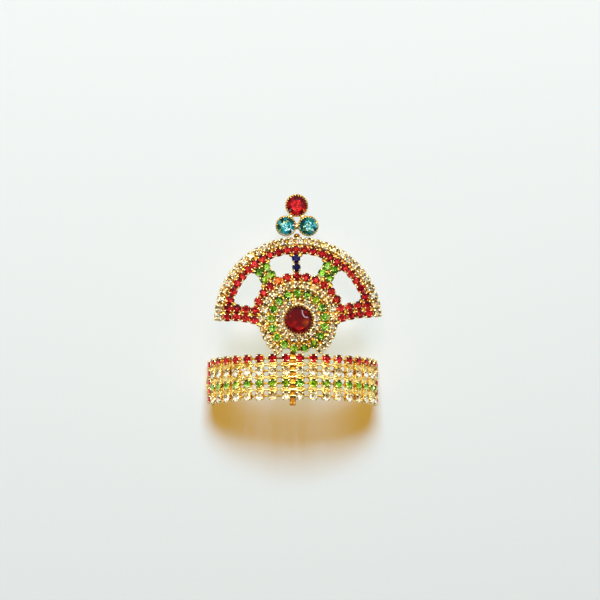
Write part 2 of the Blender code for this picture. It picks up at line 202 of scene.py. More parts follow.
# %% [markdown]
# Gold
#
# The metal is brass with a thin gold plate. Its colour varies on the chain: bright on the
# prong tips that hands have polished, which is partly a painted highlight, and brown where
# flux and dirt stay between the cups, which is partly painted shade in those hollows. An
# attribute of tarnish and painted shade carries both from 0 to 1 on each corner of a mesh,
# and two noises break it up. Reading the shape alone, with a pointiness node, would miss
# the deep corners between separate cups. The band was bent and soldered most, so its plate
# is the patchiest.

# %% Material helpers
def new_material(name):
    """A material with its node tree, links and main shader."""
    material = bpy.data.materials.new(name)
    material.use_nodes = True
    tree = material.node_tree
    return material, tree, tree.nodes["Principled BSDF"]


def add_node(tree, kind, **values):
    """One shader node, with its settings and the values of its sockets."""
    node = tree.nodes.new(kind)
    for name, value in values.items():
        if name in node.inputs:
            node.inputs[name].default_value = value
        else:
            setattr(node, name, value)
    return node


def colour_ramp(tree, fac, stops):
    """A colour ramp through (position, colour) stops."""
    ramp = tree.nodes.new("ShaderNodeValToRGB")
    elements = ramp.color_ramp.elements
    while len(elements) < len(stops):
        elements.new(1.0)
    for element, (position, colour) in zip(elements, stops):
        element.position = position
        element.color = (*colour, 1.0)
    tree.links.new(fac, ramp.inputs["Fac"])
    return ramp.outputs["Color"]


def noise(tree, scale, detail=2.0):
    """A noise in the crown's own space; scale counts waves in a metre."""
    coords = tree.nodes.new("ShaderNodeTexCoord")
    texture = add_node(tree, "ShaderNodeTexNoise", Scale=scale, Detail=detail)
    tree.links.new(coords.outputs["Object"], texture.inputs["Vector"])
    return texture.outputs["Fac"]


def remap(tree, value, low, high, new_low, new_high):
    """Stretch a value from one range to another."""
    node = tree.nodes.new("ShaderNodeMapRange")
    for name, number in (
        ("From Min", low), ("From Max", high), ("To Min", new_low), ("To Max", new_high),
    ):
        node.inputs[name].default_value = number
    tree.links.new(value, node.inputs["Value"])
    return node.outputs["Result"]


def add_up(tree, first, second):
    """The sum of two values."""
    node = add_node(tree, "ShaderNodeMath", operation="ADD")
    tree.links.new(first, node.inputs[0])
    tree.links.new(second, node.inputs[1])
    return node.outputs[0]


def bump(tree, shader, height, strength, distance):
    """Raise a surface by a height map without moving its mesh."""
    node = add_node(tree, "ShaderNodeBump", Strength=strength, Distance=distance)
    tree.links.new(height, node.inputs["Height"])
    tree.links.new(node.outputs["Normal"], shader.inputs["Normal"])


# %% The gold plate and the solder
# From pale gold, partly a painted highlight, through deep gold to dark brown for tarnish and
# painted shade.
GOLD_STOPS = (
    (0.0, (1.0, 0.82, 0.38)),
    (0.35, (1.0, 0.69, 0.17)),
    (0.7, (0.71, 0.355, 0.035)),
    (1.0, (0.28, 0.10, 0.01)),
)
NOISE_RANGE = (0.3, 0.7)
PATCH_WAVES, DULL_WAVES, DENT_WAVES = 700, 1500, 3500
DENT_DEEP = 0.03 * MM


def metal(name, stops, smooth, dull, dents, patchy=0.22):
    """A plated metal whose colour follows its attribute of tarnish and painted shade, give or take
    patches.
    """
    material, tree, shader = new_material(name)
    shader.inputs["Metallic"].default_value = 1.0
    tarnish = add_node(tree, "ShaderNodeAttribute", attribute_name="tarnish")
    patches = remap(tree, noise(tree, PATCH_WAVES), *NOISE_RANGE, -patchy, patchy)
    amount = add_up(tree, tarnish.outputs["Fac"], patches)
    tree.links.new(colour_ramp(tree, amount, stops), shader.inputs["Base Color"])
    dullness = remap(tree, noise(tree, DULL_WAVES), *NOISE_RANGE, smooth, dull)
    tree.links.new(dullness, shader.inputs["Roughness"])
    bump(tree, shader, noise(tree, DENT_WAVES, 3.0), dents, DENT_DEEP)
    return material


gold = metal("gold_plate", GOLD_STOPS, 0.20, 0.38, 0.35)
band_gold = metal("band_gold", GOLD_STOPS, 0.14, 0.34, 0.5, 0.48)
solder = metal("solder", GOLD_STOPS, 0.16, 0.40, 0.8, 0.42)
dull_gold = metal("dull_gold", GOLD_STOPS, 0.45, 0.65, 0.5)
wire_gold = metal("wire_gold", GOLD_STOPS, 0.16, 0.28, 0.2)
print("metals:", ", ".join(m.name for m in (gold, band_gold, solder, dull_gold, wire_gold)))

# %% [markdown]
# Foil-backed glass
#
# The stones are cut glass with a mirror foil behind them. Light goes in through one facet,
# meets the foil and leaves through another, so neighbouring facets differ sharply: one is
# almost black, the next glows, and a few flash white. Tracing light through real glass and
# foil would do that, but not in a picture of a few samples, and no exported model keeps it.
# Here each facet carries its own painted tone instead, painted light and shade from 0 for a
# dark facet to 1 for a painted flash, and the material turns the tone into the glass's own
# colours under a clear, sharp gloss. A second number, warmth, leans a stone towards its
# warmer colours: one stone is orange and others lean a little at random, while the warm
# facets and the warm glows of the centre stone are painted reflections and painted light.

# %% Glass colours
Glass = namedtuple("Glass", "dark deep body bright flash")
# Each glass from its darkest tone to its flash: lit and shaded copies of its colour, which the
# painted tones pick from.
GLASSES = {
    "red": Glass((0.03, 0.0, 0.002), (0.11, 0.0, 0.003), (0.32, 0.001, 0.004),
                 (0.66, 0.006, 0.009), (1.0, 0.08, 0.06)),
    "clear": Glass((0.05, 0.03, 0.01), (0.17, 0.11, 0.03), (0.46, 0.33, 0.12),
                   (0.76, 0.66, 0.42), (1.0, 1.0, 0.96)),
    "green": Glass((0.006, 0.02, 0.001), (0.025, 0.09, 0.001), (0.09, 0.26, 0.003),
                   (0.26, 0.58, 0.015), (0.70, 1.0, 0.40)),
    "blue": Glass((0.001, 0.001, 0.015), (0.001, 0.001, 0.045), (0.002, 0.002, 0.10),
                  (0.006, 0.008, 0.26), (0.06, 0.09, 0.65)),
    "dark_red": Glass((0.02, 0.0, 0.001), (0.06, 0.0, 0.001), (0.14, 0.001, 0.002),
                      (0.85, 0.006, 0.004), (0.46, 0.36, 0.43)),
    "aqua": Glass((0.0, 0.02, 0.02), (0.002, 0.08, 0.075), (0.008, 0.25, 0.235),
                  (0.12, 0.58, 0.66), (0.90, 1.0, 1.0)),
}
# Warmer copies of each glass, for the orange stone, for stones that lean warm at random and for
# painted reflections of the gold.
WARM_GLASSES = {
    "red": Glass((0.12, 0.01, 0.002), (0.36, 0.03, 0.003), (0.75, 0.09, 0.004),
                 (0.95, 0.22, 0.02), (1.0, 0.45, 0.16)),
    "clear": Glass((0.04, 0.012, 0.002), (0.26, 0.10, 0.012), (0.70, 0.36, 0.06),
                   (0.95, 0.66, 0.22), (1.0, 0.95, 0.70)),
    "green": Glass((0.03, 0.04, 0.001), (0.12, 0.16, 0.002), (0.36, 0.42, 0.004),
                   (0.70, 0.74, 0.02), (0.95, 1.0, 0.45)),
    "blue": Glass((0.001, 0.001, 0.02), (0.004, 0.002, 0.06), (0.02, 0.005, 0.2),
                  (0.06, 0.03, 0.45), (0.4, 0.35, 0.95)),
    "dark_red": Glass((0.04, 0.004, 0.001), (0.12, 0.012, 0.002), (0.22, 0.04, 0.002),
                      (0.85, 0.10, 0.006), (0.46, 0.36, 0.43)),
    "aqua": Glass((0.01, 0.05, 0.01), (0.06, 0.18, 0.04), (0.26, 0.48, 0.16),
                  (0.60, 0.85, 0.35), (0.90, 1.0, 0.70)),
}
TONE_STOPS = (0.0, 0.28, 0.52, 0.78, 1.0)
CLOUD_WAVES, CLOUD_DEPTH = 900, 0.06
GLASS_SURFACE = {
    "Metallic": 0.3,
    "Roughness": 0.22,
    "Specular IOR Level": 0.1,
    "Coat Weight": 0.4,
    "Coat Roughness": 0.03,
    "Coat IOR": 1.45,
}


def foil_glass(name):
    """One glass, whose colour follows each facet's tone and warmth."""
    material, tree, shader = new_material(f"glass_{name}")
    tone = add_node(tree, "ShaderNodeAttribute", attribute_name="tone")
    clouds = remap(tree, noise(tree, CLOUD_WAVES, 3.0), *NOISE_RANGE, -CLOUD_DEPTH, CLOUD_DEPTH)
    amount = add_up(tree, tone.outputs["Fac"], clouds)
    mix = add_node(tree, "ShaderNodeMix", data_type="RGBA")
    warmth = add_node(tree, "ShaderNodeAttribute", attribute_name="warmth")
    tree.links.new(warmth.outputs["Fac"], mix.inputs[0])
    for socket, table in ((6, GLASSES), (7, WARM_GLASSES)):
        stops = list(zip(TONE_STOPS, table[name]))
        tree.links.new(colour_ramp(tree, amount, stops), mix.inputs[socket])
    tree.links.new(mix.outputs[2], shader.inputs["Base Color"])
    for socket, value in GLASS_SURFACE.items():
        shader.inputs[socket].default_value = value
    return material


glasses = {name: foil_glass(name) for name in GLASSES}
print("glasses:", ", ".join(glasses))

# %% [markdown]
# Turned shapes
#
# Cups, stones, settings and wires are all stacks of rings. One helper lays a ring of
# corners, one joins two rings with quads, and one closes both ends. Each corner remembers
# its tarnish and painted shade, and each face its painted tone. A last helper makes the
# mesh a piece of the crown. It also pulls in the corners that would leave the box of the
# solids, by less than 0.3 mm.

# %% Mesh helpers
def new_shape():
    """An empty mesh with tarnish and painted shade on its corners, and painted tone and warmth on
    its faces.
    """
    shape = bmesh.new()
    shape.verts.layers.float.new("tarnish")
    shape.faces.layers.float.new("tone")
    shape.faces.layers.float.new("warmth")
    return shape


def add_corner(shape, place, local, tarnish=0.0):
    """One corner, given in a piece's own frame."""
    corner = shape.verts.new(place @ Vector(local))
    corner[shape.verts.layers.float["tarnish"]] = tarnish
    return corner


def ring(shape, place, sides, radius, height, tarnish=0.0, turn=0.0):
    """Corners evenly spaced round a piece's Z axis."""
    corners = []
    for k in range(sides):
        angle = 2 * math.pi * (k + turn) / sides
        local = (radius * math.cos(angle), radius * math.sin(angle), height)
        corners.append(add_corner(shape, place, local, tarnish))
    return corners


def square_ring(shape, place, sides, half, power, height, tarnish=0.0):
    """Corners round a rounded square of half the given side; power 2 makes it a circle."""
    corners = []
    for k in range(sides):
        angle = 2 * math.pi * k / sides
        c, s = math.cos(angle), math.sin(angle)
        reach = half / (abs(c) ** power + abs(s) ** power) ** (1 / power)
        corners.append(add_corner(shape, place, (reach * c, reach * s, height), tarnish))
    return corners


def join_rings(shape, low, high, smooth=True):
    """Quads from one ring of corners to the next."""
    for k in range(len(low)):
        after = (k + 1) % len(low)
        face = shape.faces.new((low[k], low[after], high[after], high[k]))
        face.smooth = smooth


def close_ends(shape, first, last):
    """Flat faces over the first and last ring of a stack."""
    shape.faces.new(tuple(reversed(first)))
    shape.faces.new(tuple(last))


def stack(shape, place, sides, levels, turn=0.0):
    """A closed turned solid through (radius, height, tarnish and painted shade) levels."""
    rings = [ring(shape, place, sides, *level, turn) for level in levels]
    for low, high in zip(rings, rings[1:]):
        join_rings(shape, low, high)
    close_ends(shape, rings[0], rings[-1])


def add_piece(name, shape, material, nodes, sharp_deg=None):
    """Make a finished mesh a piece of the crown that stands for some solids."""
    for corner in shape.verts:
        for axis in range(3):
            inside = max(corner.co[axis], solid_box[0][axis])
            corner.co[axis] = min(inside, solid_box[1][axis])
    bmesh.ops.recalc_face_normals(shape, faces=shape.faces[:])
    mesh = bpy.data.meshes.new(name)
    shape.to_mesh(mesh)
    shape.free()
    if sharp_deg is not None:
        mesh.set_sharp_from_angle(angle=math.radians(sharp_deg))
    mesh.materials.append(material)
    piece = bpy.data.objects.new(name, mesh)
    bpy.context.scene.collection.objects.link(piece)
    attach(piece, "root")
    if nodes:
        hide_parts(*nodes)
    print(f"{name}: {sum(len(f.vertices) - 2 for f in mesh.polygons)} triangles")
    return piece


# %% [markdown]
# A small cup
#
# A cup is stamped from sheet: a low wall on a flat back, square below and round above, with
# four prongs at its corners. The prongs rise outside the stone and are folded over its
# edge. The wall is a stack of rings, and each prong is a short strap swept along a bent
# path in its own plane, wide at the root and narrow at the tip.

# %% Wall of a cup
# Each level: half its width as a share of the radius, its roundness, its height as a share of the
# depth, and its tarnish and painted shade, darkest at the back and inside the cup and palest at the
# rim.
CUP_WALL = (
    (0.84, 4.0, 0.0, 0.9),
    (0.94, 4.5, 0.04, 0.8),
    (0.98, 4.5, 0.22, 0.6),
    (0.97, 3.5, 0.42, 0.6),
    (0.98, 2.6, 0.64, 0.3),
    (0.96, 2.4, 0.69, 0.1),
    (0.90, 2.2, 0.69, 0.5),
    (0.88, 2.2, 0.45, 1.0),
)
WALL_SIDES = 16


def cup_wall(shape, place, cup):
    """The wall of a cup, from shares of its radius and depth: square below, round above."""
    rings = [
        square_ring(shape, place, WALL_SIDES, half * cup.radius, power, height * cup.depth, tarnish)
        for half, power, height, tarnish in CUP_WALL
    ]
    for low, high in zip(rings, rings[1:]):
        join_rings(shape, low, high)
    close_ends(shape, rings[0], rings[-1])


# %% Prongs of a cup
Station = namedtuple("Station", "reach height width thick tarnish")
# Tarnish and painted shade fall from the root of a prong to its tip, and the bright tips are partly
# a painted highlight.
PRONG = (
    Station(1.02, 0.15, 0.60, 0.12, 0.8),
    Station(1.14, 0.45, 0.62, 0.15, 0.4),
    Station(1.17, 0.74, 0.56, 0.16, 0.05),
    Station(1.09, 0.90, 0.50, 0.16, 0.0),
    Station(0.95, 0.955, 0.44, 0.15, 0.0),
    Station(0.74, 0.95, 0.30, 0.11, 0.0),
)
STRAP_SECTION = ((1.0, 0.0), (0.6, 1.0), (-0.6, 1.0), (-1.0, 0.0), (-0.6, -1.0), (0.6, -1.0))
PRONG_TURN_DEG = 5
PRONG_FOLD = (0.96, 1.03)
SLIM_PULL = 0.6


def strap(shape, place, stations, across):
    """A tapered strap along stations in the frame's XZ plane."""
    path = [Vector((s.reach * across, 0, s.height)) for s in stations]
    rings = []
    for k, station in enumerate(stations):
        run = (path[min(k + 1, len(path) - 1)] - path[max(k - 1, 0)]).normalized()
        outward = Vector((run.z, 0, -run.x))
        corners = []
        for side, lift in STRAP_SECTION:
            local = path[k] + outward * (lift * station.thick / 2)
            local.y += side * station.width / 2
            corners.append(add_corner(shape, place, local, station.tarnish))
        rings.append(corners)
    for low, high in zip(rings, rings[1:]):
        join_rings(shape, low, high)
    close_ends(shape, rings[0], rings[-1])


def cup_prongs(shape, place, cup, rng, slim):
    """Four prongs at a cup's corners, slim times as wide; slim ones fold in less."""
    widest = max(s.reach for s in PRONG)
    for quarter in range(4):
        angle = 45 + 90 * quarter + rng.uniform(-PRONG_TURN_DEG, PRONG_TURN_DEG)
        turned = place @ Matrix.Rotation(math.radians(angle), 4, "Z")
        fold = rng.uniform(*PRONG_FOLD)
        stations = []
        for s in PRONG:
            height = s.height * cup.depth
            width, thick = s.width * cup.radius * slim, s.thick * cup.radius
            reach = s.reach * fold + (1 - slim) * (widest - s.reach) * SLIM_PULL
            stations.append(s._replace(reach=reach, height=height, width=width, thick=thick))
        stations[0] = stations[0]._replace(reach=PRONG[0].reach)
        strap(shape, turned, stations, cup.radius)


# %% [markdown]
# Links
#
# Cup chain is joined at the backs by short bars. In the tight chains they almost vanish,
# and in the rows of the band they are the thin wires between the stones. A bar is laid
# between each cup and its nearest neighbours, which are found by distance, because the
# chains run straight, round and doubled side by side.

# %% Neighbours and links
NEIGHBOUR_REACH = 1.25
LINK_ACROSS = 0.5 * MM
BAND_LINK_ACROSS = 0.62 * MM
LINK_HEIGHT_SHARE = 0.24
LINK_INSET_SHARE = 0.8
LINK_SIDES = 8
SAME_WAY = 0.5


def neighbour_pairs(cups):
    """The pairs of cups that a link joins."""
    pairs = []
    for i, first in enumerate(cups):
        for j in range(i + 1, len(cups)):
            pairs.append(((first.back - cups[j].back).length, i, j))
    pitch = min(pairs)[0]
    return [(i, j) for distance, i, j in pairs if distance < pitch * NEIGHBOUR_REACH]


def chain_directions(cups, pairs):
    """The way that the chain runs through each cup."""
    directions = []
    for i, cup in enumerate(cups):
        near = [cups[b if a == i else a].back - cup.back for a, b in pairs if i in (a, b)]
        along = near[0].normalized()
        for other in near[1:]:
            share = along.dot(other.normalized())
            if abs(share) > SAME_WAY:
                along = along + other.normalized() * math.copysign(1.0, share)
        directions.append(along.normalized())
    return directions


def bar(shape, start, end, across, sides=LINK_SIDES, tarnish=0.3):
    """A round bar from one point to another."""
    run = end - start
    side = run.orthogonal()
    place = place_at(start, side, run.normalized())
    levels = ((across / 2, 0, tarnish), (across / 2, run.length, tarnish))
    stack(shape, place, sides, levels)


def add_links(shape, cups, pairs, across, tarnish):
    """The bars between neighbouring cups."""
    for i, j in pairs:
        lift = cups[i].depth * LINK_HEIGHT_SHARE
        start = cups[i].back + cups[i].out * lift
        end = cups[j].back + cups[j].out * lift
        inset = (end - start).normalized() * cups[i].radius * LINK_INSET_SHARE
        bar(shape, start + inset, end - inset, across, tarnish=tarnish)


# %% [markdown]
# A cut stone
#
# Small chain stones have a flat eight-sided table, eight star facets round it, eight kite
# facets and sixteen small ones down to the widest edge. Seen through the table, the back
# of the stone shows as more facets, so the table is divided too, flat but with a painted
# tone for each part. The lower half of most stones is painted brighter, a painted glow of
# light that comes from above the crown and leaves the glass on the far side. On the band it
# is painted brightest. The upper half of the band's clear stones shows the metal behind
# them as a painted reflection, so their tones stop falling there.

# %% Facets and their tones
# In order: the middle tone, its painted rise towards the lower side, the chance of a patch
# of facets, the share of painted flashes, the size of a patch, the most warmth, the share of
# warm facets, which are painted reflections, what the edge adds, and where the painted fall
# towards the upper side stops.
Tones = namedtuple(
    "Tones", "base swing scatter flashes patch warmth warm_facets edge lowest", defaults=(-1.0,)
)
Cut = namedtuple("Cut", "radius girdle table_height table_share")
MAINS = 8
STAR_SHARE = 0.55
STAR_RISE = 0.62
FOOT_SHARE, FOOT_DROP, FOOT_TONE = 0.9, 0.35, 0.2
EDGE_FROM = 0.62
FACET_CHANCE = 0.08


def tint(shape, face, centre, cut, tones, patch_tone, warmth, rng):
    """Give a facet its painted tone, from its place, its patch and chance, and its warmth."""
    offset = face.calc_center_median() - centre
    # Painted light: the tone rises towards the crown's lower side.
    glow = max(tones.lowest, -offset.dot(up) / cut.radius)
    tone = tones.base + tones.swing * glow + patch_tone
    tone += rng.uniform(-FACET_CHANCE, FACET_CHANCE)
    if offset.length > EDGE_FROM * cut.radius:
        tone += tones.edge
    if rng.random() < tones.flashes:
        tone = 1.0
    if rng.random() < tones.warm_facets:
        warmth = 1.0
    face[shape.faces.layers.float["tone"]] = min(1.0, max(0.0, tone))
    face[shape.faces.layers.float["warmth"]] = warmth


# %% The facets of a stone, by their corners
def stone_facets(rims, star, girdle):
    """Each facet's level, its place round the stone and its corners, without the heart."""
    mains = len(star)
    facets = []
    for k in range(mains):
        nxt = (k + 1) % mains
        corner, half = girdle[2 * k], girdle[2 * k + 1]
        after = girdle[(2 * k + 2) % len(girdle)]
        facets += [
            ("crown", k, (rims[0][k], star[k], rims[0][nxt])),
            ("crown", k, (rims[0][k], star[k - 1], corner)),
            ("crown", k, (rims[0][k], corner, star[k])),
            ("edge", k, (star[k], corner, half)),
            ("edge", k, (star[k], half, after)),
        ]
        for step, (outer, inner) in enumerate(zip(rims, rims[1:])):
            near, far = (k, nxt) if step % 2 == 0 else (nxt, k)
            facets.append((f"outer {step}", k, (outer[k], outer[nxt], inner[near])))
            facets.append((f"inner {step}", k, (inner[k], inner[nxt], outer[far])))
    return facets


# %% A whole stone
def cut_stone(shape, place, cut, tones, rng, warmth=0.0, table_rings=1, mains=MAINS):
    """A round cut stone in its own frame, with its girdle and table at given heights."""
    sides = 2 * mains
    rise = cut.table_height - cut.girdle
    star_radius = cut.radius * (cut.table_share + (1 - cut.table_share) * STAR_SHARE)
    foot = ring(shape, place, sides, cut.radius * FOOT_SHARE, cut.girdle - FOOT_DROP * rise)
    girdle = ring(shape, place, sides, cut.radius, cut.girdle)
    star = ring(shape, place, mains, star_radius, cut.girdle + rise * STAR_RISE, turn=0.5)
    rims = []
    for step in range(table_rings + 1):
        reach = cut.radius * cut.table_share * (1 - step / (table_rings + 1))
        rims.append(ring(shape, place, mains, reach, cut.table_height, turn=0.5 * (step % 2)))
    centre = place @ Vector((0, 0, cut.girdle))
    join_rings(shape, foot, girdle, smooth=False)
    shape.faces.new(tuple(reversed(foot)))
    for face in shape.faces[-1 - sides:]:
        face[shape.faces.layers.float["tone"]] = FOOT_TONE
    facets = stone_facets(rims, star, girdle)
    if table_rings:
        tip = add_corner(shape, place, (0, 0, cut.table_height))
        for k in range(mains):
            facets.append(("heart", k, (rims[-1][k], rims[-1][(k + 1) % mains], tip)))
    patches = {}
    for level, k, corners in facets:
        patch = (level, k // tones.patch)
        if patch not in patches:
            patches[patch] = rng.uniform(-tones.scatter, tones.scatter)
        face = shape.faces.new(corners)
        tint(shape, face, centre, cut, tones, patches[patch], warmth, rng)


# %% [markdown]
# Dressing the chains
#
# Most of the crown is chain, and no two lengths of it look alike. Clear stones get painted
# white flashes and brown painted reflections, the stones of the end strips face away and are
# painted evenly bright, and stones near the sides of the band are painted brighter, for the
# light they catch from below. One function could hold all of that, but tables are easier to
# tune against a photograph: each glass has a row of tones, and the band, the rings and the
# end strips each change a few of the rows. A stone is spread a little or its prongs are
# slimmed where the real one fills its cup.

# %% Tones of each chain
CHAIN_TONES = {
    "red": Tones(0.45, 0.22, 0.42, 0.02, 2, 0.10, 0.0, 0.0),
    "clear": Tones(0.45, 0.14, 0.42, 0.12, 2, 0.9, 0.10, 0.0),
    "green": Tones(0.46, 0.24, 0.42, 0.02, 2, 0.8, 0.0, 0.0),
    "blue": Tones(0.28, 0.16, 0.34, 0.0, 2, 0.3, 0.0, 0.0),
}
BAND_TONES = dict(
    CHAIN_TONES,
    clear=Tones(0.46, 1.30, 0.36, 0.06, 2, 0.5, 0.06, 0.0, -0.10),
    red=Tones(0.41, 0.42, 0.34, 0.02, 2, 0.0, 0.0, 0.0),
    green=Tones(0.38, 0.50, 0.36, 0.02, 2, 0.6, 0.0, 0.0),
)
RING_TONES = dict(CHAIN_TONES, clear=Tones(0.40, 0.14, 0.42, 0.13, 2, 1.4, 0.16, 0.0))
END_TONES = dict(CHAIN_TONES, red=Tones(0.72, 0.22, 0.20, 0.06, 2, 0.1, 0.0, 0.0))
NODE_TONES = {"band": BAND_TONES, "ring": RING_TONES, "end": END_TONES}
SIDE_GLOW = {"clear": 0.16, "green": 0.32, "red": 0.14}
MIDDLE_SWING = 0.45


def tones_of(node, glass, cup):
    """The painted tones of one stone; round the band they are painted brighter and swing more to
    the sides.
    """
    tones = NODE_TONES.get(node.split("_")[0], CHAIN_TONES)[glass]
    if not node.startswith("band_"):
        return tones
    side = abs(math.sin(band_angle(cup.back)))
    swing = tones.swing * (MIDDLE_SWING + (1 - MIDDLE_SWING) * side)
    return tones._replace(base=tones.base + SIDE_GLOW[glass] * side ** 2, swing=swing)


# %% How a stone fits its cup, and how warm it is
Fit = namedtuple("Fit", "spread prongs")
BAND_FIT = Fit(1.03, 1.0)
CLEAR_FIT = Fit(0.99, 1.15)
COLOUR_FIT = Fit(1.07, 0.72)
GIRDLE_SHARE, TOP_SHARE, SMALL_TABLE = 0.75, 0.965, 0.60
WARM_RARITY = 3
ORANGE_STONE = Vector((-5.3, 0, 25.6)) * MM


def small_cut(cup, spread):
    """The cut of the stone that fits a small cup, with the share that it spreads to."""
    return Cut(spread * cup.radius, GIRDLE_SHARE * cup.depth, TOP_SHARE * cup.depth, SMALL_TABLE)


def warmth_of(node, cup, most, rng):
    """How far a stone leans to its warm colours: mostly little, and one stone is orange."""
    local = standing @ cup.back
    local.y = 0
    if node == "fan_red_arch" and (local - ORANGE_STONE).length < cup.radius:
        return 1.0
    return most * rng.random() ** WARM_RARITY


# %% Every chain of the crown
TILT_DEG = 1.5
# Links lie low between the cups, so they carry more tarnish and painted shade.
LINK_TARNISH_AND_SHADE, BAND_LINK_TARNISH_AND_SHADE = 0.7, 0.5


def dress_chain(node, glass, seed):
    """The cups and the stones of one length of chain, as two pieces."""
    rng = random.Random(seed)
    cups = chains[node]
    pairs = neighbour_pairs(cups)
    metal_shape, glass_shape = new_shape(), new_shape()
    on_rows = node.startswith("band_")
    fit = BAND_FIT if on_rows else CLEAR_FIT if glass == "clear" else COLOUR_FIT
    for cup, along in zip(cups, chain_directions(cups, pairs)):
        place = place_at(cup.back, along, cup.out)
        cup_wall(metal_shape, place, cup)
        cup_prongs(metal_shape, place, cup, rng, fit.prongs)
        lean = Matrix.Rotation(math.radians(rng.uniform(-TILT_DEG, TILT_DEG)), 4, "X")
        lean = lean @ Matrix.Rotation(math.radians(rng.uniform(-TILT_DEG, TILT_DEG)), 4, "Y")
        spin = Matrix.Rotation(rng.uniform(0, math.pi), 4, "Z")
        tones = tones_of(node, glass, cup)
        warmth = warmth_of(node, cup, tones.warmth, rng)
        cut = small_cut(cup, fit.spread)
        cut_stone(glass_shape, place @ lean @ spin, cut, tones, rng, warmth)
    if on_rows:
        add_links(metal_shape, cups, pairs, BAND_LINK_ACROSS, BAND_LINK_TARNISH_AND_SHADE)
    else:
        add_links(metal_shape, cups, pairs, LINK_ACROSS, LINK_TARNISH_AND_SHADE)
    plate = band_gold if on_rows else gold
    add_piece(f"{node}_cups", metal_shape, plate, [node], sharp_deg=50)
    add_piece(f"{node}_stones", glass_shape, glasses[glass], [node])


for seed, (node, glass) in enumerate(chain_nodes.items()):
    dress_chain(node, glass, seed)

# %% [markdown]
# Toothed settings
#
# The four larger stones sit in settings whose edge is cut into many small teeth, all folded
# inwards over the stone. The wall is a stack of rings like a cup's, but the upper ones
# follow the teeth: out and low in a valley, in and high at a tip. The centre's teeth are
# slim, the top settings' are wide, and the valleys between them carry more dirt and painted
# shade.

# %% Where the larger stones sit
Seat = namedtuple("Seat", "back out rim depth table")
RIM_WIDTH = 0.4 * MM


def seat_of(stone_node, setting_node):
    """The seat of one larger stone, read from its table and from its setting's back."""
    table, out, _ = flat_faces(stone_node, MAINS)[0]
    stone = [vertex.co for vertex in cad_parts[stone_node].data.vertices]
    setting = [vertex.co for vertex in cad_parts[setting_node].data.vertices]
    lowest = min((co - table).dot(out) for co in setting)
    highest = max((co - table).dot(out) for co in setting)
    stone_radius = max((co - table).cross(out).length for co in stone)
    back = table + out * lowest
    return Seat(back, out, stone_radius + RIM_WIDTH, highest - lowest, -lowest)


seats = {
    "centre": seat_of("centre_stone", "centre_setting"),
    "red": seat_of("top_stone_red", "top_setting"),
    "aqua_left": seat_of("top_stone_aqua_left", "top_setting"),
    "aqua_right": seat_of("top_stone_aqua_right", "top_setting"),
}
for name, seat in seats.items():
    print(f"{name}: setting {2 * seat.rim / MM:.1f} mm across, {seat.depth / MM:.2f} mm deep")

# %% A setting with folded teeth
# A tooth is given by shares of the way from a valley to a tip.
SLIM_TOOTH = (0.0, 0.0, 0.5, 1.0, 0.5, 0.0)
WIDE_TOOTH = (0.0, 0.5, 1.0, 0.5)
Teeth = namedtuple("Teeth", "count fold length steps")
SETTING_TEETH = {
    "centre": Teeth(28, 0.62 * MM, 0.40 * MM, SLIM_TOOTH),
    "red": Teeth(24, 0.58 * MM, 0.40 * MM, WIDE_TOOTH),
    "aqua_left": Teeth(22, 0.58 * MM, 0.40 * MM, WIDE_TOOTH),
    "aqua_right": Teeth(22, 0.58 * MM, 0.40 * MM, WIDE_TOOTH),
}
NOTCH_DEEP = 0.10 * MM
# How much more tarnish and painted shade the valleys between the teeth carry.
VALLEY_DIRT_AND_SHADE = 0.6


def toothed_ring(shape, place, teeth, valley, tip, tarnish):
    """A ring that swings between a valley and a tip, each a (radius, height)."""
    corners = []
    sides = len(teeth.steps) * teeth.count
    for k in range(sides):
        share = teeth.steps[k % len(teeth.steps)]
        radius = valley[0] + (tip[0] - valley[0]) * share
        height = valley[1] + (tip[1] - valley[1]) * share
        angle = 2 * math.pi * k / sides
        local = (radius * math.cos(angle), radius * math.sin(angle), height)
        corners.append(add_corner(shape, place, local, tarnish + VALLEY_DIRT_AND_SHADE * (1 - share)))
    return corners


def toothed_setting(shape, place, seat, teeth):
    """A setting from its back up its wall, over its teeth and down inside to the seat."""
    sides = len(teeth.steps) * teeth.count
    rim, top = seat.rim, seat.depth
    root = top - teeth.length
    fold = rim - teeth.fold
    notch = rim - NOTCH_DEEP
    outside = (
        (rim * 0.70, 0, 0.8),
        (rim * 0.78, 0.04 * top, 0.7),
        (rim * 0.90, 0.35 * top, 0.6),
        (rim * 0.94, root - 0.2 * MM, 0.8),
    )
    toothed = (
        ((notch, root - 0.05 * MM), (rim, root), 0.7),
        ((notch, root), (rim - 0.08 * MM, top - 0.12 * MM), 0.5),
        ((notch - 0.02 * MM, root), (rim - 0.28 * MM, top), 0.0),
        ((notch - 0.04 * MM, root), (fold, top - 0.02 * MM), 0.0),
        ((notch - 0.08 * MM, root - 0.05 * MM), (fold, top - 0.10 * MM), 1.0),
    )
    inside = (
        (notch - 0.10 * MM, root - 0.25 * MM, 1.0),
        (rim * 0.80, 0.45 * top, 1.0),
    )
    rings = [ring(shape, place, sides, *level) for level in outside]
    rings += [toothed_ring(shape, place, teeth, *level) for level in toothed]
    rings += [ring(shape, place, sides, *level) for level in inside]
    for low, high in zip(rings, rings[1:]):
        join_rings(shape, low, high)
    close_ends(shape, rings[0], rings[-1])


def seat_place(name):
    """The frame of one larger setting, with its X to the crown's right."""
    return place_at(seats[name].back, right, seats[name].out)


centre_cup = new_shape()
toothed_setting(centre_cup, seat_place("centre"), seats["centre"], SETTING_TEETH["centre"])
add_piece("centre_cup", centre_cup, gold, ["centre_setting"], sharp_deg=40)

# %% [markdown]
# The top cluster
#
# Three settings are soldered to each other, by short bars low between them and a drop at
# each joint. A small bead at the foot is painted dark orange, a painted shade. They are one
# piece on the real crown, so they are one piece here.

